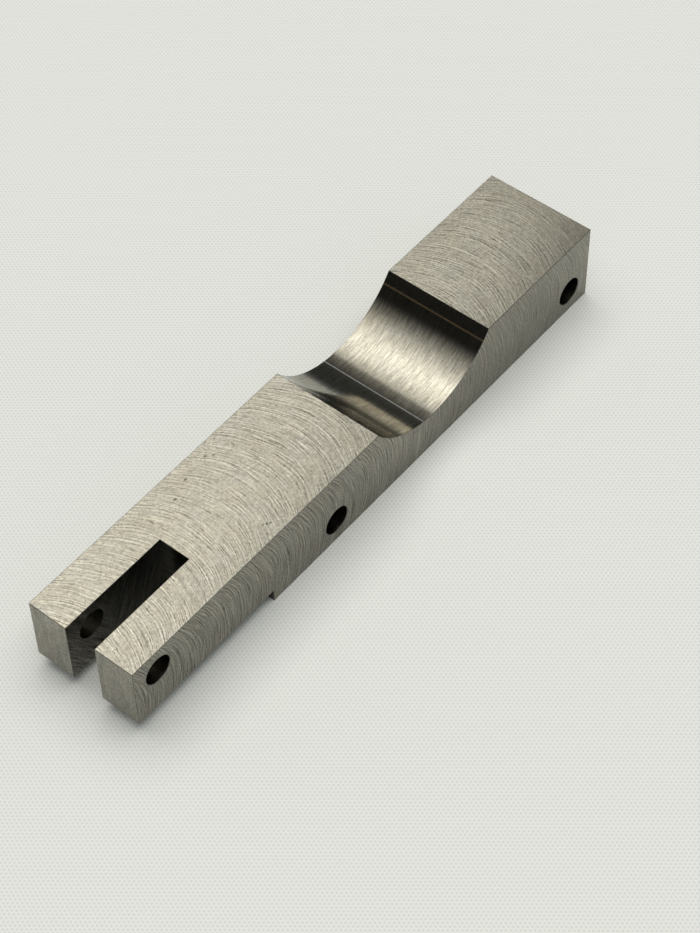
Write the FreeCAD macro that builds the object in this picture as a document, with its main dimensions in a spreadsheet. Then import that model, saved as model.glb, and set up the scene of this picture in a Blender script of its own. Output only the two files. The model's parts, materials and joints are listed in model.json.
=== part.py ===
"""Machined forked lever, cut from one square-edged steel block.

The lever is a flat bar with a forked tongue at one end and a plain head at the other. A slot
splits the tongue into two ears, a relief lifts the ears off the seat, a round saddle is milled
across the top between the tongue and the head, and three plain bores cross the bar for pins.

Frame: millimetres, +Z up. The body is drawn from the fork tip, on the underside and on the
middle plane. Its Placement then puts the middle of the seat at the origin, with +X towards the
head, so that the bar lies as it rests.
"""
import FreeCAD, Part
import Sketcher
import os

NODE = "forked_lever"

# alias: (millimetres, what it measures)
SIZES = {
    "bar_length": (110.0, "fork tip to head end"),
    "bar_width": (20.0, "side face to side face"),
    "bar_height": (15.0, "seat to top face"),
    "relief_length": (30.0, "fork tip to the step in the underside"),
    "relief_height": (2.5, "seat to the raised underside of the ears"),
    "slot_length": (20.2, "fork tip to the flat end of the slot"),
    "slot_width": (5.7, "ear to ear, centred on the bar"),
    "saddle_place": (69.0, "fork tip to the lowest line of the saddle"),
    "saddle_radius": (16.5, "radius of the round saddle"),
    "saddle_depth": (7.4, "top face to the lowest line of the saddle"),
    "fork_bore": (5.0, "diameter of the bore through both ears"),
    "fork_bore_inset": (5.0, "fork tip to the axis of that bore"),
    "fork_bore_drop": (4.4, "top face to the axis of that bore"),
    "middle_bore": (5.0, "diameter of the bore before the saddle"),
    "middle_bore_place": (45.0, "fork tip to the axis of that bore"),
    "middle_bore_rise": (4.5, "seat to the axis of that bore"),
    "head_bore": (5.0, "diameter of the bore in the head"),
    "head_bore_inset": (5.0, "head end to the axis of that bore"),
    "head_bore_rise": (4.5, "seat to the axis of that bore"),
    "edge_break": (0.15, "leg of the filed break along the outer edges"),
    "rim_break": (0.12, "leg of the break at the rim of each bore"),
}

# height of the saddle's axis above the seat
SADDLE_CENTRE = "sizes.bar_height - sizes.saddle_depth + sizes.saddle_radius"

# bore: (diameter, axis from the fork tip, axis above the seat), each an expression on the sheet
BORES = {
    "fork_bore": ("sizes.fork_bore", "sizes.fork_bore_inset", "sizes.bar_height - sizes.fork_bore_drop"),
    "middle_bore": ("sizes.middle_bore", "sizes.middle_bore_place", "sizes.middle_bore_rise"),
    "head_bore": ("sizes.head_bore", "sizes.bar_length - sizes.head_bore_inset", "sizes.head_bore_rise"),
}

NEAR = 1e-4  # two lengths closer than this are the same length


def make_sheet(doc):
    """The driving sizes, one a row: its meaning, its value and its alias."""
    sheet = doc.addObject("Spreadsheet::Sheet", "sizes")
    for row, (alias, (value, meaning)) in enumerate(SIZES.items(), start=1):
        sheet.set(f"A{row}", meaning)
        sheet.set(f"B{row}", str(value))
        sheet.setAlias(f"B{row}", alias)
    doc.recompute()
    return sheet


def new_sketch(body, name, role):
    """An empty sketch on one of the body's own origin planes."""
    plane = next(item for item in body.Origin.OriginFeatures if item.Role == role)
    sketch = body.newObject("Sketcher::SketchObject", name)
    sketch.AttachmentSupport = [(plane, "")]
    sketch.MapMode = "FlatFace"
    return sketch


def point(along, up):
    return FreeCAD.Vector(along, up, 0)


def hold(sketch, name, expression, kind, *places):
    """Adds one dimension to the sketch, at the value of its expression, and binds it."""
    value = sketch.evalExpression(expression)
    index = sketch.addConstraint(Sketcher.Constraint(kind, *places, value))
    sketch.renameConstraint(index, name)
    sketch.setExpression(f"Constraints.{name}", expression)


def chain(sketch, corners):
    """Straight edges from corner to corner, joined end to start and kept level or upright."""
    lines = []
    for start, end in zip(corners, corners[1:]):
        line = sketch.addGeometry(Part.LineSegment(start, end), False)
        level = abs(start.y - end.y) < NEAR
        sketch.addConstraint(Sketcher.Constraint("Horizontal" if level else "Vertical", line))
        if lines:
            sketch.addConstraint(Sketcher.Constraint("Coincident", lines[-1], 2, line, 1))
        lines.append(line)
    return lines


def draw_profile(body, sheet):
    """The side of the bar: relief and step below, saddle arc between the two top faces."""
    sketch = new_sketch(body, "side_profile", "XZ_Plane")
    radius = sheet.saddle_radius
    centre_height = sketch.evalExpression(SADDLE_CENTRE)
    half_chord = (radius ** 2 - (centre_height - sheet.bar_height) ** 2) ** 0.5
    top_of_tongue = point(sheet.saddle_place - half_chord, sheet.bar_height)
    top_of_head = point(sheet.saddle_place + half_chord, sheet.bar_height)
    bottom = point(sheet.saddle_place, sheet.bar_height - sheet.saddle_depth)
    corners = [
        top_of_tongue,
        point(0, sheet.bar_height),
        point(0, sheet.relief_height),
        point(sheet.relief_length, sheet.relief_height),
        point(sheet.relief_length, 0),
        point(sheet.bar_length, 0),
        point(sheet.bar_length, sheet.bar_height),
        top_of_head,
    ]
    tongue, tip, relief, step, seat, end, head = chain(sketch, corners)
    arc = sketch.addGeometry(Part.Arc(top_of_tongue, bottom, top_of_head), False)
    centre = sketch.addGeometry(Part.Point(point(sheet.saddle_place, centre_height)), True)

    # an arc runs anticlockwise, so its start is on the tongue side
    sketch.addConstraint(Sketcher.Constraint("Coincident", arc, 1, tongue, 1))
    sketch.addConstraint(Sketcher.Constraint("Coincident", arc, 2, head, 2))
    sketch.addConstraint(Sketcher.Constraint("Coincident", arc, 3, centre, 1))
    sketch.addConstraint(Sketcher.Constraint("PointOnObject", tip, 1, -2))
    sketch.addConstraint(Sketcher.Constraint("PointOnObject", seat, 1, -1))
    hold(sketch, "length", "sizes.bar_length", "DistanceX", -1, 1, end, 1)
    hold(sketch, "height", "sizes.bar_height", "DistanceY", -1, 1, tip, 1)
    hold(sketch, "head_height", "sizes.bar_height", "DistanceY", end, 1, end, 2)
    hold(sketch, "relief", "sizes.relief_height", "DistanceY", -1, 1, tip, 2)
    hold(sketch, "step", "sizes.relief_length", "DistanceX", -1, 1, step, 1)
    hold(sketch, "radius", "sizes.saddle_radius", "Radius", arc)
    hold(sketch, "place", "sizes.saddle_place", "DistanceX", -1, 1, centre, 1)
    hold(sketch, "saddle_centre", SADDLE_CENTRE, "DistanceY", -1, 1, centre, 1)
    return sketch


def pad_bar(body, profile):
    """The bar, padded to both sides of its middle plane."""
    bar = body.newObject("PartDesign::Pad", "bar")
    bar.Profile = profile
    bar.Midplane = True
    bar.setExpression("Length", "sizes.bar_width")
    return bar


def cut_slot(body, sheet):
    """The slot that splits the tongue into two ears, right through from top to bottom."""
    sketch = new_sketch(body, "slot_outline", "XY_Plane")
    half = sheet.slot_width / 2
    corners = [
        point(0, -half),
        point(sheet.slot_length, -half),
        point(sheet.slot_length, half),
        point(0, half),
        point(0, -half),
    ]
    near, back, far, mouth = chain(sketch, corners)
    sketch.addConstraint(Sketcher.Constraint("Coincident", mouth, 2, near, 1))
    sketch.addConstraint(Sketcher.Constraint("Symmetric", mouth, 1, mouth, 2, -1, 1))
    hold(sketch, "length", "sizes.slot_length", "DistanceX", near, 1, near, 2)
    hold(sketch, "width", "sizes.slot_width", "DistanceY", back, 1, back, 2)

    slot = body.newObject("PartDesign::Pocket", "fork_slot")
    slot.Profile = sketch
    slot.Type = "ThroughAll"
    slot.Reversed = True  # up from the seat, into the bar
    return slot


def drill(body, name, diameter, along, up):
    """One plain bore right across the bar, drilled from the near side face."""
    sketch = new_sketch(body, f"{name}_centre", "XZ_Plane")
    sketch.setExpression("AttachmentOffset.Base.z", "sizes.bar_width / 2")
    centre = point(body.evalExpression(along), body.evalExpression(up))
    outline = Part.Circle(centre, FreeCAD.Vector(0, 0, 1), body.evalExpression(diameter) / 2)
    circle = sketch.addGeometry(outline, False)
    hold(sketch, "diameter", diameter, "Diameter", circle)
    hold(sketch, "along", along, "DistanceX", -1, 1, circle, 3)
    hold(sketch, "up", up, "DistanceY", -1, 1, circle, 3)
    body.Document.recompute()

    bore = body.newObject("PartDesign::Hole", name)
    bore.Profile = sketch
    body.Document.recompute()
    bore.ThreadType = "None"
    bore.HoleCutType = "None"
    bore.DepthType = "ThroughAll"
    bore.setExpression("Diameter", diameter)
    return bore


def outer_edges(sheet, shape):
    """Straight edges where two of the bar's outer faces meet."""
    half_width = sheet.bar_width / 2
    faces = [
        lambda p: abs(p.x),
        lambda p: abs(p.x - sheet.bar_length),
        lambda p: abs(abs(p.y) - half_width),
        lambda p: abs(p.z - sheet.bar_height),
        lambda p: abs(p.z) if p.x > sheet.relief_length else abs(p.z - sheet.relief_height),
    ]
    chosen = []
    for index, edge in enumerate(shape.Edges, start=1):
        if edge.Curve.TypeId != "Part::GeomLine":
            continue
        middle = edge.valueAt((edge.FirstParameter + edge.LastParameter) / 2)
        if sum(gap(middle) < NEAR for gap in faces) > 1:
            chosen.append(f"Edge{index}")
    return chosen


def bore_rims(sheet, shape):
    """Round edges where a bore leaves a side face."""
    half_width = sheet.bar_width / 2
    chosen = []
    for index, edge in enumerate(shape.Edges, start=1):
        full_circle = edge.Curve.TypeId == "Part::GeomCircle" and edge.isClosed()
        if full_circle and abs(abs(edge.Curve.Center.y) - half_width) < NEAR:
            chosen.append(f"Edge{index}")
    return chosen


def break_edges(body, name, base, edges, size):
    """A small chamfer on the chosen edges of the feature before it."""
    chamfer = body.newObject("PartDesign::Chamfer", name)
    chamfer.Base = (base, edges)
    chamfer.setExpression("Size", size)
    return chamfer


def finish_feature(doc, feature, before):
    """Recomputes the feature and makes sure that it took material away."""
    doc.recompute()
    after = feature.Shape.Volume
    if not 0 < after < before:
        raise RuntimeError(f"{feature.Label} removed nothing: {before:.2f} to {after:.2f} cubic mm")
    return after


def build_lever(doc, sheet):
    """The whole lever as one body, feature by feature."""
    body = doc.addObject("PartDesign::Body", NODE)
    body.Label = NODE
    bar = pad_bar(body, draw_profile(body, sheet))
    doc.recompute()
    volume = bar.Shape.Volume
    volume = finish_feature(doc, cut_slot(body, sheet), volume)
    for name, expressions in BORES.items():
        bore = drill(body, name, *expressions)
        volume = finish_feature(doc, bore, volume)
    edges = outer_edges(sheet, bore.Shape)
    edge_break = break_edges(body, "outer_edge_break", bore, edges, "sizes.edge_break")
    volume = finish_feature(doc, edge_break, volume)
    rims = bore_rims(sheet, edge_break.Shape)
    rim_break = break_edges(body, "bore_rim_break", edge_break, rims, "sizes.rim_break")
    finish_feature(doc, rim_break, volume)
    body.setExpression("Placement.Base.x", "-sizes.bar_length / 2")
    doc.recompute()
    return body


def check(doc, body):
    """Stops on any object that failed, and on a shape that isn't one sound solid."""
    for item in doc.Objects:
        if "Invalid" in item.State or "Error" in item.State:
            raise RuntimeError(f"{item.Label} failed: {item.State}")
    shape = body.Shape
    if shape.isNull() or not shape.isValid() or len(shape.Solids) != 1:
        raise RuntimeError(f"{body.Label} isn't one sound solid")


def main():
    doc = FreeCAD.newDocument("forked_lever")
    sheet = make_sheet(doc)
    body = build_lever(doc, sheet)
    check(doc, body)
    os.makedirs("parts", exist_ok=True)
    body.Shape.exportStep(f"parts/{body.Label}.step")
    box = body.Shape.BoundBox
    print(f"{body.Label}: {box.XLength:.2f} x {box.YLength:.2f} x {box.ZLength:.2f} mm, "
          f"{body.Shape.Volume:.1f} cubic mm, {len(body.Shape.Faces)} faces")


main()
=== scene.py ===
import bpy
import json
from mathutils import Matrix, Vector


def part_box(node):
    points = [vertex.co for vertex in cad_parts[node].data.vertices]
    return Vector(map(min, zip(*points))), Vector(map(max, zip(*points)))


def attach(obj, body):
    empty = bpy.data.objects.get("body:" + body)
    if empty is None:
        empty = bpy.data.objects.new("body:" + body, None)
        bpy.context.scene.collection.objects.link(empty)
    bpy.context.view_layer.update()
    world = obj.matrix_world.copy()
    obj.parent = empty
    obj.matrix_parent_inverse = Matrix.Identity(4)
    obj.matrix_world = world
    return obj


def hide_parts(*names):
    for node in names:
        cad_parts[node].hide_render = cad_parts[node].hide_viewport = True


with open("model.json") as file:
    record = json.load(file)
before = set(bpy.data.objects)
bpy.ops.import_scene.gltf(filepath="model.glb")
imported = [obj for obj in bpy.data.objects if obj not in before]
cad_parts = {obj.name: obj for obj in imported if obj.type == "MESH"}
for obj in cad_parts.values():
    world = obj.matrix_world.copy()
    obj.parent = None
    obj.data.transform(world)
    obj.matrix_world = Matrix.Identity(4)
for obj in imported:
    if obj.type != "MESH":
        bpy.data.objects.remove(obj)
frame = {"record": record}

"""Looks of a forked lever milled from one steel bar, on a pale studio floor.

The lever is one piece. Its mesh is cut by a Geometry Nodes tree in the way the
real bar is machined: a bar, less a relief, a slot, a round saddle and three
bores. Every sort of machined face then gets a finish of its own.
"""

import json
import logging
import math
from dataclasses import dataclass, field
from enum import Enum
from typing import Callable, Sequence, Union

import bmesh
import bpy
from mathutils import Matrix, Vector

log = logging.getLogger("forked_lever")

MM = 0.001
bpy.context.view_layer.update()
LEVER_NODE = "forked_lever"

Source = Union[bpy.types.NodeSocket, float, int, bool, Sequence[float], str]
Colour = tuple[float, float, float]


# --------------------------------------------------------------------- wiring


class Wiring:
    """Adds nodes to one tree and joins them.

    Args:
        tree: The node tree that is filled.
    """

    def __init__(self, tree: bpy.types.NodeTree) -> None:
        self.tree = tree
        self.made = 0

    def node(self, kind: str, **settings: object) -> bpy.types.Node:
        """Adds a node.

        Args:
            kind: The node's type name, as Blender writes it.
            **settings: Properties to set on the node.

        Returns:
            The new node.
        """
        made = self.tree.nodes.new(kind)
        made.location = (200 * (self.made % 12), -260 * (self.made // 12))
        self.made += 1
        for name, value in settings.items():
            setattr(made, name, value)
        return made

    def feed(self, socket: bpy.types.NodeSocket, source: Source) -> None:
        """Links a socket to another one, or sets its own value.

        Args:
            socket: The input that is fed.
            source: An output socket, or a plain value.
        """
        if isinstance(source, bpy.types.NodeSocket):
            self.tree.links.new(source, socket)
        elif hasattr(socket, "default_value"):
            socket.default_value = source

    def maths(self, operation: str, *terms: Source, clamp: bool = False) -> bpy.types.NodeSocket:
        """Adds a Math node.

        Args:
            operation: The operation's name, such as MULTIPLY.
            *terms: Up to three sockets or numbers.
            clamp: Whether the result is kept between 0 and 1.

        Returns:
            The node's result.
        """
        made = self.node("ShaderNodeMath", operation=operation, use_clamp=clamp)
        for socket, term in zip(made.inputs, terms):
            self.feed(socket, term)
        return made.outputs[0]

    def vector(self, operation: str, *terms: Source) -> bpy.types.NodeSocket:
        """Adds a Vector Math node.

        Args:
            operation: The operation's name, such as ADD.
            *terms: Sockets or vectors.

        Returns:
            The node's vector result.
        """
        made = self.node("ShaderNodeVectorMath", operation=operation)
        sockets = [made.inputs["Scale"]] if operation == "SCALE" else []
        sockets = [made.inputs[0], *sockets] if sockets else list(made.inputs)
        for socket, term in zip(sockets, terms):
            self.feed(socket, term)
        return made.outputs[0]

    def join(self, x: Source = 0.0, y: Source = 0.0, z: Source = 0.0) -> bpy.types.NodeSocket:
        """Makes a vector of three numbers or sockets."""
        made = self.node("ShaderNodeCombineXYZ")
        for socket, term in zip(made.inputs, (x, y, z)):
            self.feed(socket, term)
        return made.outputs[0]

    def split(self, vector: Source) -> tuple[bpy.types.NodeSocket, ...]:
        """Gives the three parts of a vector."""
        made = self.node("ShaderNodeSeparateXYZ")
        self.feed(made.inputs[0], vector)
        return tuple(made.outputs)

    def ramp(self, value: Source, low: Source, high: Source, to_low: Source = 0.0,
             to_high: Source = 1.0, smooth: bool = False) -> bpy.types.NodeSocket:
        """Maps one range of values onto another and stops at its ends.

        Args:
            value: The value that is mapped.
            low: Where the range starts.
            high: Where the range ends.
            to_low: The result at its start.
            to_high: The result at its end.
            smooth: Whether the slope eases at both ends.

        Returns:
            The mapped value.
        """
        made = self.node("ShaderNodeMapRange", clamp=True,
                         interpolation_type="SMOOTHSTEP" if smooth else "LINEAR")
        for name, term in (("Value", value), ("From Min", low), ("From Max", high),
                           ("To Min", to_low), ("To Max", to_high)):
            self.feed(made.inputs[name], term)
        return made.outputs["Result"]

    def noise(self, vector: Source, scale: float = 1.0, detail: float = 2.0,
              roughness: float = 0.5) -> bpy.types.NodeSocket:
        """Adds a Noise Texture and gives its grey value."""
        made = self.node("ShaderNodeTexNoise", noise_dimensions="3D")
        for name, term in (("Vector", vector), ("Scale", scale), ("Detail", detail),
                           ("Roughness", roughness)):
            self.feed(made.inputs[name], term)
        return made.outputs["Fac"]

    def mix(self, factor: Source, first: Source, second: Source,
            blend: str = "MIX") -> bpy.types.NodeSocket:
        """Mixes two colours.

        Args:
            factor: How much of the second colour there is.
            first: The colour at a factor of 0.
            second: The colour at a factor of 1.
            blend: The way they are mixed.

        Returns:
            The mixed colour.
        """
        made = self.node("ShaderNodeMix", data_type="RGBA", blend_type=blend, clamp_factor=True)
        self.feed(made.inputs[0], factor)
        self.feed(made.inputs[6], first)
        self.feed(made.inputs[7], second)
        return made.outputs[2]

    def group(self, tree: bpy.types.NodeTree, **inputs: Source) -> bpy.types.Node:
        """Places a node group and feeds its inputs.

        Args:
            tree: The group's tree.
            **inputs: Values or sockets by input name, with _ for a space.

        Returns:
            The group node.
        """
        kind = "GeometryNodeGroup" if tree.bl_idname == "GeometryNodeTree" else "ShaderNodeGroup"
        made = self.node(kind)
        made.node_tree = tree
        for name, term in inputs.items():
            self.feed(made.inputs[name.replace("_", " ")], term)
        return made


def rgba(colour: Colour) -> tuple[float, float, float, float]:
    """Adds a full alpha to a colour."""
    return (*colour, 1.0)


# ------------------------------------------------------------- shared effects


class SurfaceEffects:
    """The shader groups that more than one finish uses. Lengths are in millimetres."""

    def __init__(self) -> None:
        self.cutter_arcs = self._cutter_arcs()
        self.lay_lines = self._lay_lines()
        self.speckle = self._speckle()
        self.nick = self._nick()

    @staticmethod
    def _new_group(name: str, inputs: dict[str, tuple[str, object]],
                   outputs: dict[str, str]) -> tuple[Wiring, bpy.types.Node, bpy.types.Node]:
        """Makes an empty shader group with its sockets.

        Args:
            name: The group's name.
            inputs: Socket kind and default value by input name.
            outputs: Socket kind by output name.

        Returns:
            The wiring, the group's input node and its output node.
        """
        tree = bpy.data.node_groups.new(name, "ShaderNodeTree")
        for title, (kind, value) in inputs.items():
            socket = tree.interface.new_socket(title, in_out="INPUT", socket_type=kind)
            if value is not None:
                socket.default_value = value
        for title, kind in outputs.items():
            tree.interface.new_socket(title, in_out="OUTPUT", socket_type=kind)
        wires = Wiring(tree)
        return wires, wires.node("NodeGroupInput"), wires.node("NodeGroupOutput")

    def _cutter_arcs(self) -> bpy.types.NodeTree:
        """Builds the arcs that a face mill leaves as it is fed along a face.

        Returns:
            A group that gives broad ridges, fine lines and stray scratches.
        """
        number = "NodeSocketFloat"
        wires, given, out = self._new_group(
            "cutter_arcs",
            {"Along": (number, 0.0), "Across": (number, 0.0), "Sweep Radius": (number, 16.0),
             "Pitch": (number, 0.5), "Seed": (number, 0.0)},
            {"Broad": number, "Lines": number, "Scratches": number})
        along, across, radius, pitch, seed = (given.outputs[k] for k in range(5))
        reach = wires.maths("SQRT", wires.maths("MAXIMUM", wires.maths(
            "SUBTRACT", wires.maths("MULTIPLY", radius, radius),
            wires.maths("MULTIPLY", across, across)), 0.01))
        # the metal tears a little, so no line is quite smooth
        torn = wires.maths("MULTIPLY", wires.maths("SUBTRACT", wires.noise(
            wires.join(along, across, seed), 1.7, 2.0, 0.6), 0.5), 0.36)
        step = wires.maths("DIVIDE", wires.maths("ADD", wires.maths(
            "SUBTRACT", along, reach), torn), pitch)
        sweep = wires.maths("MULTIPLY", radius, wires.maths("ARCTAN2", across, reach))

        def streaks(fineness: float, breaks: float, shift: float, detail: float,
                    harshness: float) -> bpy.types.NodeSocket:
            """Makes noise that is stretched along the arcs."""
            return wires.noise(wires.join(
                wires.maths("MULTIPLY", step, fineness), wires.maths("MULTIPLY", sweep, breaks),
                wires.maths("ADD", seed, shift)), 1.0, detail, harshness)

        wires.feed(out.inputs["Broad"], streaks(0.60, 0.12, 0.0, 2.0, 0.6))
        # the feed marks: even waves whose phase and depth wander
        wave: Source = 0.0
        for index, (rate, share) in enumerate(((1.0, 0.55), (0.62, 0.35), (1.45, 0.30))):
            phase = wires.maths("MULTIPLY", streaks(0.30, 0.09, 5.0 + index, 1.0, 0.5), 3.5)
            turn = wires.maths("ADD", wires.maths("MULTIPLY", step, rate), phase)
            wave = wires.maths("ADD", wave, wires.maths("MULTIPLY", wires.maths(
                "SINE", wires.maths("MULTIPLY", turn, 2.0 * math.pi)), share))
        depth = wires.ramp(streaks(0.30, 0.22, 23.0, 1.0, 0.5), 0.34, 0.62, 0.45, 1.30)
        wires.feed(out.inputs["Lines"], wires.maths("ADD", 0.5, wires.maths(
            "MULTIPLY", wires.maths("MULTIPLY", wave, depth), 0.5)))
        wires.feed(out.inputs["Scratches"], wires.ramp(
            streaks(1.6, 0.10, 37.0, 0.0, 0.5), 0.70, 0.78))
        return wires.tree

    def _lay_lines(self) -> bpy.types.NodeTree:
        """Builds lines that run one way, as boring, drilling and sawing leave.

        Returns:
            A group that gives broad streaks, fine lines and stray scratches.
        """
        number = "NodeSocketFloat"
        wires, given, out = self._new_group(
            "lay_lines",
            {"Across Lines": (number, 0.0), "Along Lines": (number, 0.0), "Pitch": (number, 0.3),
             "Run": (number, 12.0), "Seed": (number, 0.0)},
            {"Broad": number, "Lines": number, "Scratches": number})
        across, along, pitch, run, seed = (given.outputs[k] for k in range(5))
        turns = wires.maths("DIVIDE", across, pitch)
        length = wires.maths("DIVIDE", along, run)

        def streaks(fineness: float, breaks: float, shift: float) -> bpy.types.NodeSocket:
            """Makes noise that is stretched along the lines."""
            return wires.noise(wires.join(
                wires.maths("MULTIPLY", turns, fineness), wires.maths("MULTIPLY", length, breaks),
                wires.maths("ADD", seed, shift)), 1.0, 2.0, 0.6)

        wires.feed(out.inputs["Broad"], streaks(0.35, 0.7, 0.0))
        wires.feed(out.inputs["Lines"], streaks(1.0, 1.0, 11.0))
        wires.feed(out.inputs["Scratches"], wires.ramp(streaks(0.8, 0.5, 37.0), 0.66, 0.76))
        return wires.tree

    def _speckle(self) -> bpy.types.NodeTree:
        """Builds what is the same in every direction: pits, grain and a cloudiness.

        Returns:
            A group that gives a pit mask, a grain and a cloud value.
        """
        wires, given, out = self._new_group(
            "speckle",
            {"Place": ("NodeSocketVector", None), "Spacing": ("NodeSocketFloat", 3.0),
             "Pit Size": ("NodeSocketFloat", 0.1)},
            {"Pits": "NodeSocketFloat", "Grain": "NodeSocketFloat", "Cloud": "NodeSocketFloat"})
        place, spacing, size = (given.outputs[k] for k in range(3))
        cells = wires.node("ShaderNodeTexVoronoi", voronoi_dimensions="3D", feature="F1")
        wires.feed(cells.inputs["Vector"], wires.vector("DIVIDE", place, wires.join(
            spacing, spacing, spacing)))
        wires.feed(cells.inputs["Scale"], 1.0)
        far = wires.maths("MULTIPLY", cells.outputs["Distance"], spacing)
        chance = wires.split(cells.outputs["Color"])[0]
        wanted = wires.maths("MULTIPLY", size, wires.ramp(chance, 0.45, 1.0, 0.0, 1.0))
        wires.feed(out.inputs["Pits"], wires.maths("SUBTRACT", 1.0, wires.ramp(
            wires.maths("DIVIDE", far, wires.maths("MAXIMUM", wanted, 0.001)), 0.6, 1.2)))
        wires.feed(out.inputs["Grain"], wires.noise(place, 2.7, 2.0, 0.9))
        wires.feed(out.inputs["Cloud"], wires.noise(place, 0.20, 3.0, 0.6))
        return wires.tree

    def _nick(self) -> bpy.types.NodeTree:
        """Builds one ragged nick at a chosen place.

        Returns:
            A group that gives the nick's mask.
        """
        wires, given, out = self._new_group(
            "nick",
            {"Place": ("NodeSocketVector", None), "Centre": ("NodeSocketVector", None),
             "Reach": ("NodeSocketVector", None), "Before": ("NodeSocketFloat", 0.0)},
            {"Mask": "NodeSocketFloat"})
        place, centre, reach, before = (given.outputs[k] for k in range(4))
        away = wires.node("ShaderNodeVectorMath", operation="LENGTH")
        wires.feed(away.inputs[0], wires.vector("DIVIDE", wires.vector(
            "SUBTRACT", place, centre), reach))
        ragged = wires.maths("ADD", away.outputs["Value"], wires.maths(
            "MULTIPLY", wires.maths("SUBTRACT", wires.noise(place, 4.0, 2.0), 0.5), 2.4))
        mask = wires.maths("MULTIPLY", 0.75, wires.maths(
            "SUBTRACT", 1.0, wires.ramp(ragged, 0.35, 1.30)))
        wires.feed(out.inputs["Mask"], wires.maths("MAXIMUM", mask, before))
        return wires.tree


# ------------------------------------------------------------------- finishes


class FaceRole(Enum):
    """The sorts of face on the lever, in the order of its material slots."""

    TOP = "milled_top"
    SIDE = "milled_side"
    END = "milled_end"
    UNDER = "milled_under"
    SLOT = "slot_wall"
    SADDLE = "bored_saddle"
    BORE = "drilled_bore"
    EDGE = "broken_edge"


@dataclass(frozen=True)
class SteelFinish:
    """How one sort of face is finished.

    Attributes:
        colour: The steel's colour on this sort of face, darkened on the sides, ends and slot walls as
            painted shade.
        broad: How far broad ridges change that colour.
        lines: How far fine lines change it.
        grain: How far an even grain changes it.
        roughness: The roughness between the marks.
        spread: How much the marks change the roughness.
        anisotropy: How far reflections smear across the marks.
        relief: The height of the marks, in millimetres.
        pitch: The spacing of the marks, in millimetres.
        seed: Picks another run of the same pattern.
    """

    colour: Colour
    broad: float
    lines: float
    grain: float
    roughness: float
    spread: float
    anisotropy: float
    relief: float
    pitch: float
    seed: float


@dataclass(frozen=True)
class Nick:
    """One nick in a face.

    Attributes:
        centre: Its place in millimetres.
        reach: Its half sizes in millimetres.
    """

    centre: tuple[float, float, float]
    reach: tuple[float, float, float] = (0.20, 0.16, 0.5)


def shade_of(colour: Colour, level: float) -> Colour:
    """Gives a colour at a share of its brightness."""
    return tuple(channel * level for channel in colour)


STEEL: Colour = (0.310, 0.291, 0.239)

# the sides and ends get darker shares of STEEL, and the slot walls a much darker one, as painted shade
FINISHES: dict[FaceRole, SteelFinish] = {
    FaceRole.TOP: SteelFinish(shade_of(STEEL, 1.10), 0.16, 0.36, 0.90, 0.285, 0.03, 0.80, 0.0035, 0.47, 1.0),
    FaceRole.SIDE: SteelFinish(
        shade_of(STEEL, 0.735), 0.36, 0.48, 1.00, 0.34, 0.03, 0.50, 0.0035, 0.49, 5.0),
    FaceRole.END: SteelFinish(
        shade_of(STEEL, 0.84), 0.34, 0.40, 1.10, 0.38, 0.03, 0.30, 0.0010, 0.35, 9.0),
    FaceRole.UNDER: SteelFinish(STEEL, 0.32, 0.40, 0.70, 0.34, 0.03, 0.50, 0.0040, 0.55, 13.0),
    FaceRole.SLOT: SteelFinish(
        shade_of(STEEL, 0.38), 1.60, 2.00, 1.40, 0.40, 0.04, 0.30, 0.0040, 0.24, 17.0),
    FaceRole.SADDLE: SteelFinish(
        shade_of(STEEL, 0.94), 0.30, 0.85, 0.45, 0.15, 0.02, 0.70, 0.0012, 0.22, 21.0),
    FaceRole.BORE: SteelFinish(
        shade_of(STEEL, 0.72), 1.10, 1.30, 0.50, 0.22, 0.03, 0.40, 0.0300, 0.42, 25.0),
    FaceRole.EDGE: SteelFinish(
        shade_of(STEEL, 0.45), 0.20, 0.20, 0.20, 0.30, 0.03, 0.00, 0.0005, 0.25, 29.0),
}

TOP_NICKS = (
    Nick((-19.0, 7.9, 15.0)), Nick((-18.0, 7.1, 15.0)), Nick((-15.6, 9.1, 15.0)),
    Nick((-14.6, 6.2, 15.0), (0.10, 0.45, 0.5)), Nick((-27.9, 6.0, 15.0), (0.30, 0.22, 0.5)),
    Nick((-33.2, 6.0, 15.0), (0.08, 0.60, 0.5)), Nick((-24.1, 7.3, 15.0), (0.35, 0.16, 0.5)),
    Nick((-23.5, -7.2, 15.0), (0.30, 0.10, 0.5)), Nick((-22.9, -7.5, 15.0)),
    Nick((-22.4, -7.8, 15.0)), Nick((-23.1, 0.0, 15.0), (0.12, 0.12, 0.5)),
    Nick((-15.4, -2.9, 15.0), (0.20, 0.09, 0.5)), Nick((-44.4, 4.7, 15.0), (0.12, 0.12, 0.5)))
SIDE_NICKS = (
    Nick((-10.8, -10.0, 14.3), (0.22, 0.5, 0.16)), Nick((-5.8, -10.0, 0.4), (0.25, 0.5, 0.10)))


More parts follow.
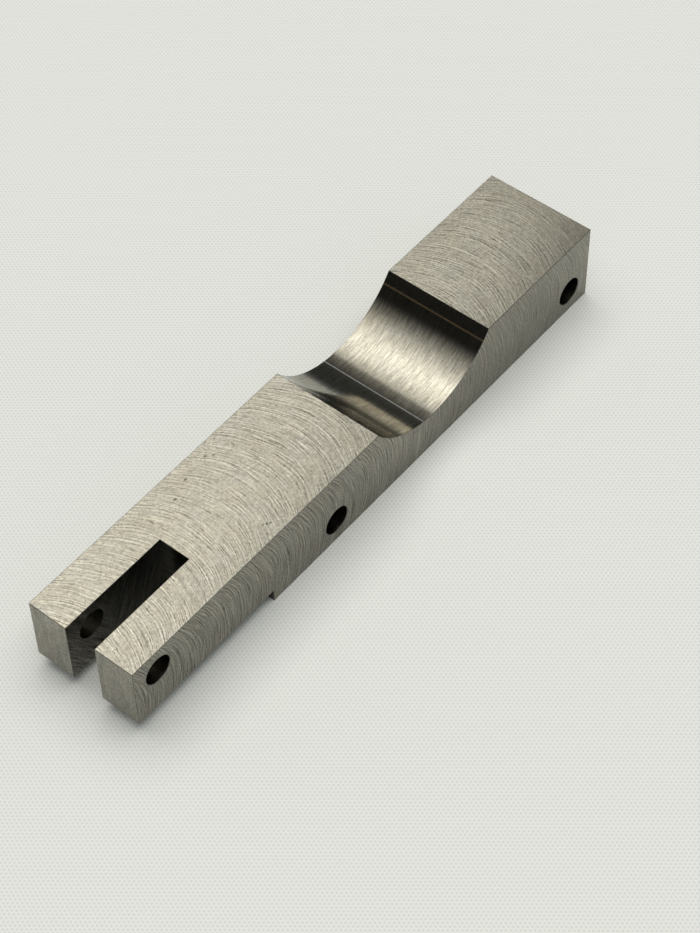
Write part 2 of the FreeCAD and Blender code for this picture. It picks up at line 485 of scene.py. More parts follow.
class SteelPainter:
    """Builds the materials of the lever's faces.

    Args:
        effects: The shared shader groups.
        lever: The lever, whose sizes place the marks.
    """

    def __init__(self, effects: SurfaceEffects, lever: "ForkedLever") -> None:
        self.effects = effects
        self.lever = lever

    def material(self, role: FaceRole) -> bpy.types.Material:
        """Builds the material of one sort of face.

        Args:
            role: The sort of face.

        Returns:
            The new material.
        """
        finish = FINISHES[role]
        made = bpy.data.materials.new(role.value)
        made.use_nodes = True
        made.node_tree.nodes.clear()
        wires = Wiring(made.node_tree)
        place = wires.vector("SCALE", wires.node("ShaderNodeTexCoord").outputs["Object"], 1.0 / MM)
        shader = wires.node("ShaderNodeBsdfPrincipled")
        shader.inputs["Metallic"].default_value = 1.0
        shader.inputs["Anisotropic"].default_value = finish.anisotropy
        output = wires.node("ShaderNodeOutputMaterial")
        wires.feed(output.inputs["Surface"], shader.outputs["BSDF"])
        pattern: Callable = {
            FaceRole.TOP: self._arcs_on_flat, FaceRole.UNDER: self._arcs_on_flat,
            FaceRole.SIDE: self._arcs_on_side, FaceRole.SLOT: self._streaks_in_slot,
            FaceRole.END: self._lines_on_end, FaceRole.SADDLE: self._lines_in_saddle,
            FaceRole.BORE: self._rings_in_bore, FaceRole.EDGE: self._plain_edge}[role]
        pattern(wires, finish, place, shader)
        return made

    def _dress(self, wires: Wiring, finish: SteelFinish, shader: bpy.types.Node,
               marks: Sequence[Source], place: Source, tangent: Source | None,
               pit_size: float = 0.14, nicks: Sequence[Nick] = (),
               marks_and_painted_light: Sequence[tuple[Source, Colour, float]] = ()) -> None:
        """Turns a pattern into colour, roughness and height.

        Args:
            wires: The material's wiring.
            finish: The finish that is made.
            shader: The material's Principled node.
            marks: Broad ridges, fine lines and stray scratches, from 0 to 1.
            place: The place on the lever, in millimetres.
            tangent: The way reflections smear, or None.
            pit_size: The radius of the largest pits, in millimetres.
            nicks: Nicks at chosen places.
            marks_and_painted_light: Masks of painted shade, painted highlights and single lines, with their
                colour and roughness.
        """
        broad, lines, scratches = marks
        speckle = wires.group(self.effects.speckle, Place=place, Spacing=2.6, Pit_Size=pit_size)
        pits: Source = speckle.outputs["Pits"]
        for nick in nicks:
            pits = wires.group(self.effects.nick, Place=place, Centre=nick.centre,
                               Reach=nick.reach, Before=pits).outputs["Mask"]

        def swing(value: Source, amount: float) -> bpy.types.NodeSocket:
            """Centres a pattern on zero and scales it."""
            return wires.maths("MULTIPLY", wires.maths("SUBTRACT", value, 0.5), 2.0 * amount)

        # the ridges, lines and scratches change the colour partly as the steel's own unevenness and partly
        # as painted glints along the marks
        level = wires.maths("ADD", 1.0, swing(broad, finish.broad))
        level = wires.maths("ADD", level, swing(lines, finish.lines))
        level = wires.maths("ADD", level, swing(speckle.outputs["Grain"], finish.grain))
        level = wires.maths("ADD", level, swing(speckle.outputs["Cloud"], 0.10))
        level = wires.maths("ADD", level, wires.maths("MULTIPLY", scratches, finish.broad * 0.6))
        level = wires.maths("MULTIPLY", level, wires.maths(
            "SUBTRACT", 1.0, wires.maths("MULTIPLY", pits, 0.75)))
        level = wires.maths("MINIMUM", wires.maths("MAXIMUM", level, 0.06), 2.4)
        warm = tuple(finish.colour)
        cool = (warm[0] * 0.98, warm[1] * 1.0, warm[2] * 1.04)
        hue = wires.mix(wires.ramp(speckle.outputs["Cloud"], 0.35, 0.65), rgba(warm), rgba(cool))
        colour = wires.vector("SCALE", hue, level)
        rough = wires.maths("ADD", finish.roughness, swing(lines, -finish.spread))
        rough = wires.maths("ADD", rough, wires.maths("MULTIPLY", pits, 0.3))
        # these masks paint shade and highlights over the colour, besides single lines
        for mask, overlay_colour, overlay_roughness in marks_and_painted_light:
            colour = wires.mix(mask, colour, rgba(overlay_colour))
            rough = wires.maths("ADD", rough, wires.maths(
                "MULTIPLY", mask, overlay_roughness - finish.roughness))
        wires.feed(shader.inputs["Base Color"], colour)
        wires.feed(shader.inputs["Roughness"], rough)
        bump = wires.node("ShaderNodeBump")
        bump.inputs["Strength"].default_value = 1.0
        bump.inputs["Distance"].default_value = finish.relief * MM
        height = wires.maths("ADD", wires.maths("MULTIPLY", broad, 1.2), lines)
        height = wires.maths("ADD", height, wires.maths(
            "MULTIPLY", speckle.outputs["Grain"], 0.5))
        wires.feed(bump.inputs["Height"], wires.maths(
            "SUBTRACT", height, wires.maths("MULTIPLY", pits, 3.0)))
        wires.feed(shader.inputs["Normal"], bump.outputs["Normal"])
        if tangent is not None:
            wires.feed(shader.inputs["Tangent"], tangent)

    def _arcs(self, wires: Wiring, finish: SteelFinish, along: Source, across: Source,
              radius: float) -> tuple[Sequence[Source], Source, Source]:
        """Places the cutter arcs and works out the way across them.

        Args:
            wires: The material's wiring.
            finish: The finish that is made.
            along: Millimetres along the feed.
            across: Millimetres off the cutter's path.
            radius: The cutter's radius in millimetres.

        Returns:
            The marks and the two parts of the direction across the arcs.
        """
        arcs = wires.group(self.effects.cutter_arcs, Along=along, Across=across,
                           Sweep_Radius=radius, Pitch=finish.pitch, Seed=finish.seed)
        reach = wires.maths("SQRT", wires.maths("MAXIMUM", wires.maths(
            "SUBTRACT", radius * radius, wires.maths("MULTIPLY", across, across)), 0.01))
        marks = tuple(arcs.outputs)
        return marks, wires.maths("DIVIDE", reach, radius), wires.maths("DIVIDE", across, radius)

    def _lay(self, wires: Wiring, finish: SteelFinish, across: Source, along: Source,
             run: float) -> Sequence[Source]:
        """Places lines that run one way.

        Args:
            wires: The material's wiring.
            finish: The finish that is made.
            across: Millimetres across the lines.
            along: Millimetres along them.
            run: About how long a line is, in millimetres.

        Returns:
            The marks.
        """
        return tuple(wires.group(self.effects.lay_lines, Across_Lines=across, Along_Lines=along,
                                 Pitch=finish.pitch, Run=run, Seed=finish.seed).outputs)

    @staticmethod
    def _deepened(wires: Wiring, marks: Sequence[Source], depth: Source) -> Sequence[Source]:
        """Makes ridges and lines stand out more or less.

        Args:
            wires: The material's wiring.
            marks: Broad ridges, fine lines and stray scratches.
            depth: The share of their contrast that they get.

        Returns:
            The marks with their new contrast.
        """
        *pattern, scratches = marks
        return (*(wires.maths("ADD", 0.5, wires.maths(
            "MULTIPLY", wires.maths("SUBTRACT", mark, 0.5), depth)) for mark in pattern),
                scratches)

    def _arcs_on_flat(self, wires: Wiring, finish: SteelFinish, place: Source,
                      shader: bpy.types.Node) -> None:
        """Dresses the top and the underside, milled along the bar."""
        x, y, _ = wires.split(place)
        marks, forward, aside = self._arcs(wires, finish, x, y, self.lever.top_sweep / MM)
        on_top = finish is FINISHES[FaceRole.TOP]
        # the arcs stand out more towards the head, partly as painted glints where the head reflects the
        # light's edge
        marks = self._deepened(wires, marks, wires.ramp(x, -18.0, 0.0, 0.85, 1.15))
        # the head's near corner is painted darker than the rest, as painted shade
        corner = wires.maths("SUBTRACT", x, wires.maths("MULTIPLY", y, 0.8))
        corner_shade = wires.ramp(corner, 42.0, 62.0, 0.0, 0.55)
        self._dress(wires, finish, shader, marks, place, wires.join(forward, aside, 0.0),
                    nicks=TOP_NICKS if on_top else (),
                    marks_and_painted_light=((corner_shade, shade_of(STEEL, 0.62), finish.roughness),) if on_top
                    else ())

    def _arcs_on_side(self, wires: Wiring, finish: SteelFinish, place: Source,
                      shader: bpy.types.Node) -> None:
        """Dresses the long sides, milled along the bar."""
        x, _, z = wires.split(place)
        off_path = wires.maths("SUBTRACT", z, self.lever.side_path / MM)
        marks, forward, aside = self._arcs(wires, finish, x, off_path,
                                           self.lever.side_sweep / MM)
        marks = self._deepened(wires, marks, wires.ramp(x, 5.0, 35.0, 1.10, 0.65))
        self._dress(wires, finish, shader, marks, place, wires.join(forward, 0.0, aside),
                    nicks=SIDE_NICKS)

    def _streaks_in_slot(self, wires: Wiring, finish: SteelFinish, place: Source,
                         shader: bpy.types.Node) -> None:
        """Dresses the slot's walls, with slanting streaks from the slotting cutter."""
        x, _, z = wires.split(place)

        def slanted(lean: float) -> Sequence[Source]:
            """Makes streaks that lean from the upright by an angle in degrees."""
            side, up = math.cos(math.radians(lean)), math.sin(math.radians(lean))
            return self._lay(wires, finish,
                             wires.maths("SUBTRACT", wires.maths("MULTIPLY", x, side),
                                         wires.maths("MULTIPLY", z, up)),
                             wires.maths("ADD", wires.maths("MULTIPLY", x, up),
                                         wires.maths("MULTIPLY", z, side)), 5.0)

        # the streaks lean one way by the tip and the other way deeper in
        tip = self.lever.low.x / MM
        deep = wires.ramp(x, tip + 6.0, tip + 11.0, smooth=True)
        marks = tuple(
            wires.maths("ADD", wires.maths("MULTIPLY", outer, wires.maths("SUBTRACT", 1.0, deep)),
                        wires.maths("MULTIPLY", inner, deep))
            for outer, inner in zip(slanted(-35.0), slanted(25.0)))
        # the walls are painted darker deeper into the slot, as painted shade in the recess
        dark = wires.ramp(x, tip + 2.0, tip + 15.0, 0.0, 0.75)
        self._dress(wires, finish, shader, marks, place, wires.join(1.0, 0.0, 0.0),
                    marks_and_painted_light=((dark, shade_of(STEEL, 0.03), finish.roughness),))

    def _lines_on_end(self, wires: Wiring, finish: SteelFinish, place: Source,
                      shader: bpy.types.Node) -> None:
        """Dresses the ends and the step, cut with the side of a mill."""
        x, y, z = wires.split(place)
        marks = self._lay(wires, finish, y, z, 6.0)
        step = (self.lever.low.x + self.lever.relief_length) / MM
        # the step's face is painted nearly black, as painted shade under the raised fork
        step_shade = wires.ramp(wires.maths("ABSOLUTE", wires.maths("SUBTRACT", x, step)),
                             0.3, 0.6, 0.8, 0.0)
        self._dress(wires, finish, shader, marks, place, wires.join(0.0, 1.0, 0.0),
                    marks_and_painted_light=((step_shade, shade_of(STEEL, 0.06), finish.roughness),))

    def _lines_in_saddle(self, wires: Wiring, finish: SteelFinish, place: Source,
                         shader: bpy.types.Node) -> None:
        """Dresses the round saddle, whose fine lines run round the cutter's path."""
        x, y, z = wires.split(place)
        centre = self.lever.saddle_axis()
        turned = wires.maths("MULTIPLY", self.lever.saddle_radius / MM, wires.maths(
            "ARCTAN2", wires.maths("SUBTRACT", x, centre.x / MM),
            wires.maths("SUBTRACT", centre.z / MM, z)))
        marks = self._lay(wires, finish, y, turned, 3.0)

        def line(at: float, width: float) -> bpy.types.NodeSocket:
            """Makes the mask of one line across the saddle."""
            off = wires.maths("ABSOLUTE", wires.maths("SUBTRACT", x, at))
            return wires.maths("SUBTRACT", 1.0, wires.ramp(off, width * 0.35, width))

        # the light line by the saddle's edge towards the fork is a painted highlight on a burr
        self._dress(wires, finish, shader, marks, place, wires.join(0.0, 1.0, 0.0), 0.08,
                    marks_and_painted_light=((line(11.33, 0.17), (0.62, 0.64, 0.62), 0.42),
                                (line(26.40, 0.14), (0.30, 0.20, 0.11), 0.45)))

    def _rings_in_bore(self, wires: Wiring, finish: SteelFinish, place: Source,
                       shader: bpy.types.Node) -> None:
        """Dresses the bores, with the rings that the drill left."""
        x, y, z = wires.split(place)
        marks = self._lay(wires, finish, y, wires.maths("ADD", x, z), 6.0)
        self._dress(wires, finish, shader, marks, place, wires.join(0.0, 1.0, 0.0))

    def _plain_edge(self, wires: Wiring, finish: SteelFinish, place: Source,
                    shader: bpy.types.Node) -> None:
        """Dresses the filed edges, with a little unevenness along them."""
        grain = wires.noise(place, 1.0 / finish.pitch, 3.0, 0.6)
        self._dress(wires, finish, shader, (grain, wires.noise(place, 2.5, 2.0), 0.0), place, None)


# ------------------------------------------------------------------ the lever


@dataclass
class ForkedLever:
    """The lever: one bar with a forked end, a round saddle and three cross bores.

    The overall size is the CAD piece's own, and the bores come from the
    record's mounts. Lengths are in metres.
    """

    relief_length: float = 30.0 * MM
    relief_height: float = 2.5 * MM
    slot_length: float = 20.2 * MM
    slot_width: float = 5.7 * MM
    saddle_place: float = 69.0 * MM
    saddle_radius: float = 16.5 * MM
    saddle_depth: float = 7.4 * MM
    saddle_facets: int = 360
    bore_facets: int = 96
    edge_break: float = 0.15 * MM
    rim_break: float = 0.12 * MM
    inner_break: float = 0.03 * MM
    top_sweep: float = 16.0 * MM
    side_sweep: float = 16.0 * MM
    side_path: float = 6.0 * MM
    low: Vector = field(init=False)
    high: Vector = field(init=False)
    bores: list[tuple[Vector, float]] = field(init=False)

    def __post_init__(self) -> None:
        self.low, self.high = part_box(LEVER_NODE)
        self.bores = [(Vector(mount["pos_m"]), mount["dims"]["r_mm"] * MM)
                      for mount in frame["record"]["mounts"] if mount["kind"] == "bore"]

    def saddle_axis(self) -> Vector:
        """Gives the middle of the saddle's axis."""
        return Vector((self.low.x + self.saddle_place, 0.0,
                       self.high.z - self.saddle_depth + self.saddle_radius))

    def build(self) -> bpy.types.Object:
        """Cuts the bar, breaks its edges and gives every face its sort.

        Returns:
            The lever's object, with one material slot for each sort of face.
        """
        lever = self._machined_bar()
        self._sort_faces(lever.data)
        self._mark_edges(lever.data)
        return self._break_edges(lever)

    def _machined_bar(self) -> bpy.types.Object:
        """Runs the machining tree and keeps its result as a plain mesh.

        Returns:
            The lever with sharp edges.
        """
        centres = bpy.data.meshes.new("bore_centres")
        centres.from_pydata([tuple(place) for place, _ in self.bores], [], [])
        host = bpy.data.objects.new("lever_stock", centres)
        bpy.context.scene.collection.objects.link(host)
        tree = self._machining_tree()
        modifier = host.modifiers.new("machining", "NODES")
        modifier.node_group = tree
        size = self.high - self.low
        values = {
            "Bar Size": tuple(size), "Bar Centre": tuple((self.low + self.high) / 2),
            "Relief Length": self.relief_length, "Relief Height": self.relief_height,
            "Slot Length": self.slot_length, "Slot Width": self.slot_width,
            "Saddle Axis": tuple(self.saddle_axis()), "Saddle Radius": self.saddle_radius,
            "Saddle Facets": self.saddle_facets, "Bore Radius": self.bores[0][1],
            "Bore Facets": self.bore_facets,
        }
        for socket in tree.interface.items_tree:
            if socket.name in values:
                modifier[socket.identifier] = values[socket.name]
        evaluated = host.evaluated_get(bpy.context.evaluated_depsgraph_get())
        mesh = bpy.data.meshes.new_from_object(evaluated)
        host.modifiers.clear()
        bpy.data.objects.remove(host)
        mesh.name = "lever_mesh"
        lever = bpy.data.objects.new("lever", mesh)
        bpy.context.scene.collection.objects.link(lever)
        return lever

    def _machining_tree(self) -> bpy.types.NodeTree:
        """Builds the tree that cuts the relief, slot, saddle and bores out of a bar.

        Returns:
            The Geometry Nodes tree, with a named input for every size.
        """
        tree = bpy.data.node_groups.new("lever_machining", "GeometryNodeTree")
        kinds = {"Geometry": "NodeSocketGeometry", "Bar Size": "NodeSocketVector",
                 "Bar Centre": "NodeSocketVector", "Relief Length": "NodeSocketFloat",
                 "Relief Height": "NodeSocketFloat", "Slot Length": "NodeSocketFloat",
                 "Slot Width": "NodeSocketFloat", "Saddle Axis": "NodeSocketVector",
                 "Saddle Radius": "NodeSocketFloat", "Saddle Facets": "NodeSocketInt",
                 "Bore Radius": "NodeSocketFloat", "Bore Facets": "NodeSocketInt"}
        for name, kind in kinds.items():
            tree.interface.new_socket(name, in_out="INPUT", socket_type=kind)
        tree.interface.new_socket("Geometry", in_out="OUTPUT", socket_type="NodeSocketGeometry")
        wires = Wiring(tree)
        given, out = wires.node("NodeGroupInput"), wires.node("NodeGroupOutput")
        want = given.outputs
        length, width, height = wires.split(want["Bar Size"])
        middle = wires.split(want["Bar Centre"])
        tip = wires.maths("SUBTRACT", middle[0], wires.maths("DIVIDE", length, 2.0))
        floor = wires.maths("SUBTRACT", middle[2], wires.maths("DIVIDE", height, 2.0))
        wide = wires.maths("MULTIPLY", width, 2.0)

        def block(centre: Source, size: Source) -> bpy.types.NodeSocket:
            """Makes a block of a size, centred on a point."""
            cube = wires.node("GeometryNodeMeshCube")
            wires.feed(cube.inputs["Size"], size)
            moved = wires.node("GeometryNodeTransform")
            wires.feed(moved.inputs["Geometry"], cube.outputs["Mesh"])
            wires.feed(moved.inputs["Translation"], centre)
            return moved.outputs["Geometry"]

        def drill(radius: Source, facets: Source, centre: Source) -> bpy.types.NodeSocket:
            """Makes a cylinder that lies across the bar."""
            rod = wires.node("GeometryNodeMeshCylinder", fill_type="NGON")
            for name, term in (("Vertices", facets), ("Radius", radius), ("Depth", wide)):
                wires.feed(rod.inputs[name], term)
            laid = wires.node("GeometryNodeTransform")
            wires.feed(laid.inputs["Geometry"], rod.outputs["Mesh"])
            laid.inputs["Rotation"].default_value = (math.pi / 2, 0.0, 0.0)
            wires.feed(laid.inputs["Translation"], centre)
            return laid.outputs["Geometry"]

        bar = block(want["Bar Centre"], want["Bar Size"])
        relief = block(
            wires.join(tip, 0.0, floor),
            wires.join(wires.maths("MULTIPLY", want["Relief Length"], 2.0), wide,
                       wires.maths("MULTIPLY", want["Relief Height"], 2.0)))
        slot = block(
            wires.join(tip, 0.0, middle[2]),
            wires.join(wires.maths("MULTIPLY", want["Slot Length"], 2.0), want["Slot Width"],
                       wires.maths("MULTIPLY", height, 2.0)))
        saddle = drill(want["Saddle Radius"], want["Saddle Facets"], want["Saddle Axis"])
        bores = wires.node("GeometryNodeInstanceOnPoints")
        wires.feed(bores.inputs["Points"], want["Geometry"])
        wires.feed(bores.inputs["Instance"],
                   drill(want["Bore Radius"], want["Bore Facets"], (0.0, 0.0, 0.0)))
        drills = wires.node("GeometryNodeRealizeInstances")
        wires.feed(drills.inputs[0], bores.outputs[0])
        cut = wires.node("GeometryNodeMeshBoolean", operation="DIFFERENCE", solver="EXACT")
        wires.feed(cut.inputs["Mesh 1"], bar)
        for tool in (relief, slot, saddle, drills.outputs[0]):
            wires.feed(cut.inputs["Mesh 2"], tool)
        whole = wires.node("GeometryNodeRealizeInstances")
        wires.feed(whole.inputs[0], cut.outputs["Mesh"])
        steel = wires.node("GeometryNodeSetMaterial")
        wires.feed(steel.inputs["Geometry"], whole.outputs[0])
        steel.inputs["Material"].default_value = bpy.data.materials.new("lever_stock")
        wires.feed(out.inputs[0], steel.outputs[0])
        return tree

    def role_of(self, centre: Vector, normal: Vector) -> FaceRole:
        """Says what sort of face has this centre and normal.

        Args:
            centre: The face's centre.
            normal: The face's outward direction.

        Returns:
            The sort of face.
        """
        hair = 0.02 * MM
        axis = self.saddle_axis()
        if abs(normal.y) > 0.9:
            outside = abs(centre.y) > self.high.y - hair
            return FaceRole.SIDE if outside else FaceRole.SLOT
        for place, radius in self.bores:
            off = math.hypot(centre.x - place.x, centre.z - place.z)
            if abs(off - radius) < hair:
                return FaceRole.BORE
        off = math.hypot(centre.x - axis.x, centre.z - axis.z)
        if abs(off - self.saddle_radius) < hair:
            return FaceRole.SADDLE
        if abs(normal.x) > 0.9:
            in_slot = abs(centre.x - self.low.x - self.slot_length) < hair
            return FaceRole.SLOT if in_slot else FaceRole.END
        return FaceRole.TOP if normal.z > 0.0 else FaceRole.UNDER

    def _sort_faces(self, mesh: bpy.types.Mesh) -> None:
        """Gives every face its material slot and its shading."""
        order = list(FaceRole)
        for face in mesh.polygons:
            role = self.role_of(face.center, face.normal)
            face.material_index = order.index(role)
            face.use_smooth = True

    def _mark_edges(self, mesh: bpy.types.Mesh) -> None:
        """Says how far each sharp edge is broken, as a share of the widest break."""
        shape = bmesh.new()
        shape.from_mesh(mesh)
        share = shape.edges.layers.float.new("bevel_weight_edge")
        order = list(FaceRole)
        for edge in shape.edges:
            if len(edge.link_faces) != 2 or edge.calc_face_angle(0.0) < math.radians(20.0):
                continue
            roles = {order[f.material_index] for f in edge.link_faces}
            if FaceRole.BORE in roles:
                width = self.rim_break if FaceRole.SIDE in roles else self.inner_break
            elif FaceRole.SLOT in roles and len(roles) == 1:
                width = 0.0
            elif FaceRole.SLOT in roles or FaceRole.SADDLE in roles:
                width = self.inner_break * 1.5
            else:
                convex = edge.is_convex
                width = self.edge_break * 0.6 if convex else 0.0
            edge[share] = width / self.edge_break
        shape.to_mesh(mesh)
        shape.free()

    def _break_edges(self, lever: bpy.types.Object) -> bpy.types.Object:
        """Breaks the marked edges and keeps the result as a plain mesh.

        Args:
            lever: The lever with sharp, marked edges.

        Returns:
            The same object with its final mesh.
        """
        for role in FaceRole:
            lever.data.materials.append(bpy.data.materials.new(role.value + "_slot"))
        bevel = lever.modifiers.new("edge_break", "BEVEL")
        bevel.limit_method = "WEIGHT"
        bevel.width = self.edge_break
        bevel.segments = 2
        bevel.use_clamp_overlap = True
        bevel.harden_normals = True
        bevel.material = list(FaceRole).index(FaceRole.EDGE)
        bevel.miter_outer = "MITER_ARC"
        evaluated = lever.evaluated_get(bpy.context.evaluated_depsgraph_get())
        mesh = bpy.data.meshes.new_from_object(evaluated)
        lever.modifiers.clear()
        lever.data = mesh
        mesh.name = "lever_mesh"
        return lever


# ------------------------------------------------------- stage, light, camera


@dataclass(frozen=True)
class StudioFloor:
    """A pale sheet with a fine six-sided emboss that fills the view.

    Attributes:
        colour: The sheet's colour.
        reach: How far the sheet runs from the part, in metres.
        pitch: The spacing of the emboss's rows, in millimetres.
        turn: The way across the first rows, in degrees from the bar.
        dimple: The depth of the dimples, in millimetres.
        shade: How much darker the dimples are painted, as painted shade in their hollows.
    """

    colour: Colour = (0.86, 0.875, 0.845)
    reach: float = 4.0
    pitch: float = 0.573
    turn: float = 38.5
    dimple: float = 0.010
    shade: float = 0.19

    def build(self) -> bpy.types.Object:
        """Builds the sheet.

        Returns:
            The floor's object, marked as stage.
        """
        mesh = bpy.data.meshes.new("floor")
        shape = bmesh.new()
        bmesh.ops.create_circle(shape, cap_ends=True, segments=64, radius=self.reach)
        shape.to_mesh(mesh)
        shape.free()
        floor = bpy.data.objects.new("floor", mesh)
        bpy.context.scene.collection.objects.link(floor)
        mesh.materials.append(self._material())
        return floor

    def _material(self) -> bpy.types.Material:
        """Builds the sheet's material."""
        made = bpy.data.materials.new("floor_sheet")
        made.use_nodes = True
        made.node_tree.nodes.clear()
        wires = Wiring(made.node_tree)
        x, y, _ = wires.split(wires.node("ShaderNodeTexCoord").outputs["Object"])
        turns = 2.0 * math.pi / (self.pitch * MM)
        rows: Source = 0.0
        for third in range(3):
            way = math.radians(self.turn + 60.0 * third)
            rows = wires.maths("ADD", rows, wires.maths("COSINE", wires.maths(
                "ADD", wires.maths("MULTIPLY", x, turns * math.cos(way)),
                wires.maths("MULTIPLY", y, turns * math.sin(way)))))
        # the rows' sum runs from -1.5 between the dimples to 3 in their middles
        dimples = wires.ramp(rows, -1.5, 3.0)
        bump = wires.node("ShaderNodeBump", invert=True)
        bump.inputs["Strength"].default_value = 1.0
        bump.inputs["Distance"].default_value = self.dimple * MM
        wires.feed(bump.inputs["Height"], dimples)
        shader = wires.node("ShaderNodeBsdfPrincipled")
        # the dimples are painted darker, as painted shade in the emboss's hollows
        wires.feed(shader.inputs["Base Color"], wires.mix(
            dimples, rgba(self.colour), rgba(shade_of(self.colour, 1.0 - self.shade))))
        shader.inputs["Roughness"].default_value = 0.75
        shader.inputs["Specular IOR Level"].default_value = 0.3
        wires.feed(shader.inputs["Normal"], bump.outputs["Normal"])
        output = wires.node("ShaderNodeOutputMaterial")
        wires.feed(output.inputs["Surface"], shader.outputs["BSDF"])
        return made


@dataclass(frozen=True)
class DarkCard:
    """A dark patch of the room, as a card beside a bright part is.

    Attributes:
        azimuth: The way to its middle, in degrees from the head end.
        elevation: The height of its middle, in degrees.
        inner: The angle from its middle at which it is fully dark.
        outer: The angle at which it has faded out.
        shade: Its colour.
    """

    azimuth: float
    elevation: float
    inner: float
    outer: float
    shade: Colour

    def way(self) -> Vector:
        """Gives the direction to its middle."""
        turn, rise = math.radians(self.azimuth), math.radians(self.elevation)
        return Vector((math.cos(turn) * math.cos(rise), math.sin(turn) * math.cos(rise),
                       math.sin(rise)))


@dataclass(frozen=True)
class StudioLight:
    """A soft box overhead and a dim room below it, written into the world.

    Attributes:
        strength: The level of the whole world.
        tone: The soft box's colour.
        room: The room's colour below the soft box.
        profile: Pairs of angle and brightness from the head end, over the
            top, to the fork end, in degrees above the bar's long axis.
        far_edge: Where the soft box starts on the far side, in degrees above
            the horizon across the bar.
        near_edge: Where it ends on the near side, in the same degrees.
        cards: Dark patches in the room.
    """

    strength: float = 2.20
    tone: Colour = (1.0, 0.985, 0.935)
    room: Colour = (0.135, 0.145, 0.155)
    profile: tuple[tuple[float, float], ...] = (
        (0.0, 0.0), (20.0, 0.034), (38.0, 0.11), (53.0, 0.23), (55.5, 0.64), (64.0, 0.93),
        (69.0, 1.20), (75.0, 1.30), (86.0, 1.46), (93.0, 1.32), (101.0, 1.00), (110.0, 0.71),
        (119.0, 0.38), (126.0, 0.20), (134.0, 0.05), (140.0, 0.0), (180.0, 0.0))
    far_edge: tuple[float, float] = (49.0, 60.0)
    near_edge: tuple[float, float] = (112.0, 122.0)
    cards: tuple[DarkCard, ...] = (
        DarkCard(36.5, 30.0, 22.0, 32.0, (0.032, 0.035, 0.034)),
        DarkCard(149.0, 31.0, 23.0, 33.0, (0.011, 0.011, 0.010)))

    def build(self) -> None:
        """Builds the world."""
        world = bpy.data.worlds.new("studio")
        bpy.context.scene.world = world
        world.use_nodes = True
        world.node_tree.nodes.clear()
        wires = Wiring(world.node_tree)
        way = wires.node("ShaderNodeTexCoord").outputs["Generated"]
        x, y, z = wires.split(way)
        along = wires.maths("DIVIDE", wires.maths("ARCTAN2", z, x), math.pi)
        across = wires.maths("MULTIPLY", wires.maths("ARCTAN2", z, y), 180.0 / math.pi)
        box = wires.maths("MULTIPLY", self._profile(wires, along), wires.maths(
            "MULTIPLY", wires.ramp(across, *self.far_edge, smooth=True),
            wires.ramp(across, *self.near_edge, 1.0, 0.0, smooth=True)))
        room: Source = rgba(self.room)
        for card in self.cards:
            near = wires.node("ShaderNodeVectorMath", operation="DOT_PRODUCT")
            wires.feed(near.inputs[0], way)
            wires.feed(near.inputs[1], tuple(card.way()))
            hidden = wires.ramp(
                near.outputs["Value"], math.cos(math.radians(card.outer)),
                math.cos(math.radians(card.inner)), smooth=True)
            room = wires.mix(hidden, room, rgba(card.shade))
        soft_box = wires.vector("SCALE", self.tone, box)
        background = wires.node("ShaderNodeBackground")
        wires.feed(background.inputs["Color"], wires.vector("MAXIMUM", room, soft_box))
        background.inputs["Strength"].default_value = self.strength
        output = wires.node("ShaderNodeOutputWorld")
        wires.feed(output.inputs["Surface"], background.outputs[0])

    def _profile(self, wires: Wiring, along: Source) -> bpy.types.NodeSocket:
        """Turns an angle over the bar's length into the soft box's brightness.

        Args:
            wires: The world's wiring.
            along: The angle from the head end, as a share of a half turn.

        Returns:
            The brightness.
        """
        ramp = wires.node("ShaderNodeValToRGB")
        wires.feed(ramp.inputs["Fac"], along)
        stops = ramp.color_ramp.elements
        peak = max(level for _, level in self.profile)
        while len(stops) > 1:
            stops.remove(stops[-1])
        for index, (angle, level) in enumerate(self.profile):
            stop = stops[0] if index == 0 else stops.new(angle / 180.0)
            stop.position = angle / 180.0
            stop.color = rgba((level / peak,) * 3)
        return wires.maths("MULTIPLY", ramp.outputs["Color"], peak)


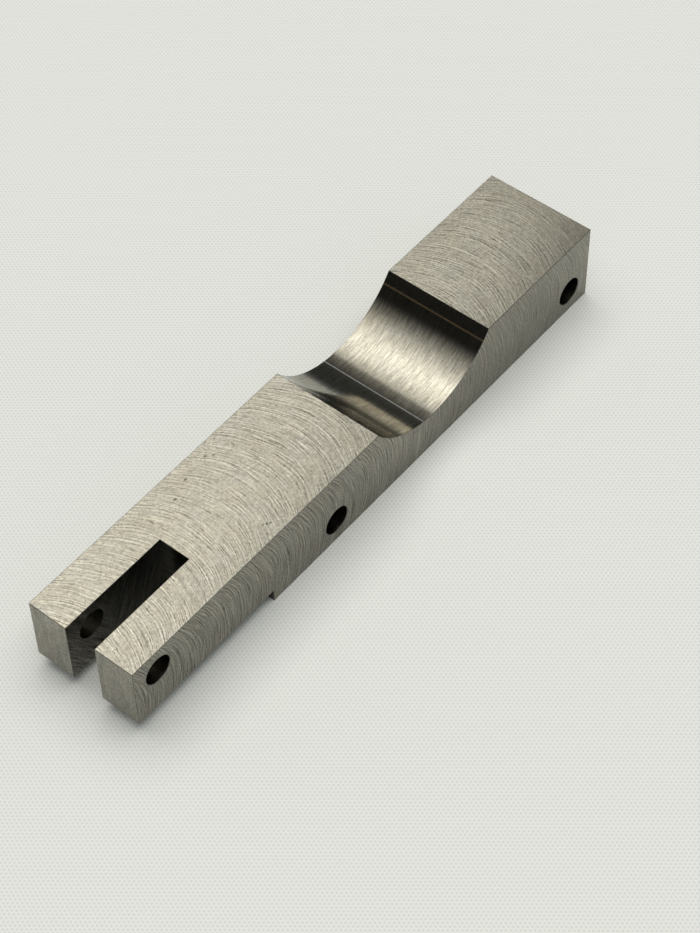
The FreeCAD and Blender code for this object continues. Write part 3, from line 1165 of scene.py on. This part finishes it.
@dataclass(frozen=True)
class StudioCamera:
    """The camera, placed by the way it looks at the part.

    Attributes:
        azimuth: The side it stands on, in degrees.
        elevation: Its height above the horizon, in degrees.
        roll: Its turn about its own axis, in degrees.
        distance: How far it stands from its target, in metres.
        target: The point at the middle of the picture.
        lens: The focal length for a 36 mm sensor, in millimetres.
    """

    azimuth: float = -49.85
    elevation: float = 51.56
    roll: float = -1.35
    distance: float = 374.3 * MM
    target: tuple[float, float, float] = (-2.47 * MM, -6.49 * MM, 7.5 * MM)
    lens: float = 94.35

    def build(self) -> None:
        """Builds the camera and makes it the scene's own."""
        turn, rise = math.radians(self.azimuth), math.radians(self.elevation)
        back = Vector((math.sin(turn) * math.cos(rise), -math.cos(turn) * math.cos(rise),
                       math.sin(rise)))
        lens = bpy.data.cameras.new("camera")
        lens.lens = self.lens
        lens.sensor_width = 36.0
        lens.clip_start, lens.clip_end = 0.01, 20.0
        camera = bpy.data.objects.new("camera", lens)
        bpy.context.scene.collection.objects.link(camera)
        facing = back.to_track_quat("Z", "Y").to_matrix().to_4x4()
        camera.matrix_world = (
            Matrix.Translation(Vector(self.target) + back * self.distance)
            @ facing @ Matrix.Rotation(math.radians(self.roll), 4, "Z"))
        bpy.context.scene.camera = camera


# ----------------------------------------------------------------- the script


def dress(lever: ForkedLever, piece: bpy.types.Object) -> None:
    """Gives the lever's slots their finishes.

    Args:
        lever: The lever's sizes.
        piece: The lever's object.
    """
    painter = SteelPainter(SurfaceEffects(), lever)
    for index, role in enumerate(FaceRole):
        piece.data.materials[index] = painter.material(role)


def main() -> None:
    """Builds the camera, the stage and the lever, and logs the lever's faces and bores."""
    logging.basicConfig(level=logging.INFO, format="%(name)s: %(message)s")
    bpy.context.scene.view_settings.view_transform = "Standard"
    StudioCamera().build()
    StudioLight().build()
    StudioFloor().build()
    sizes = ForkedLever()
    piece = sizes.build()
    dress(sizes, piece)
    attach(piece, "root")
    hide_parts(LEVER_NODE)
    log.info("lever: %d faces, %d bores", len(piece.data.polygons), len(sizes.bores))


if __name__ == "__main__":
    main()
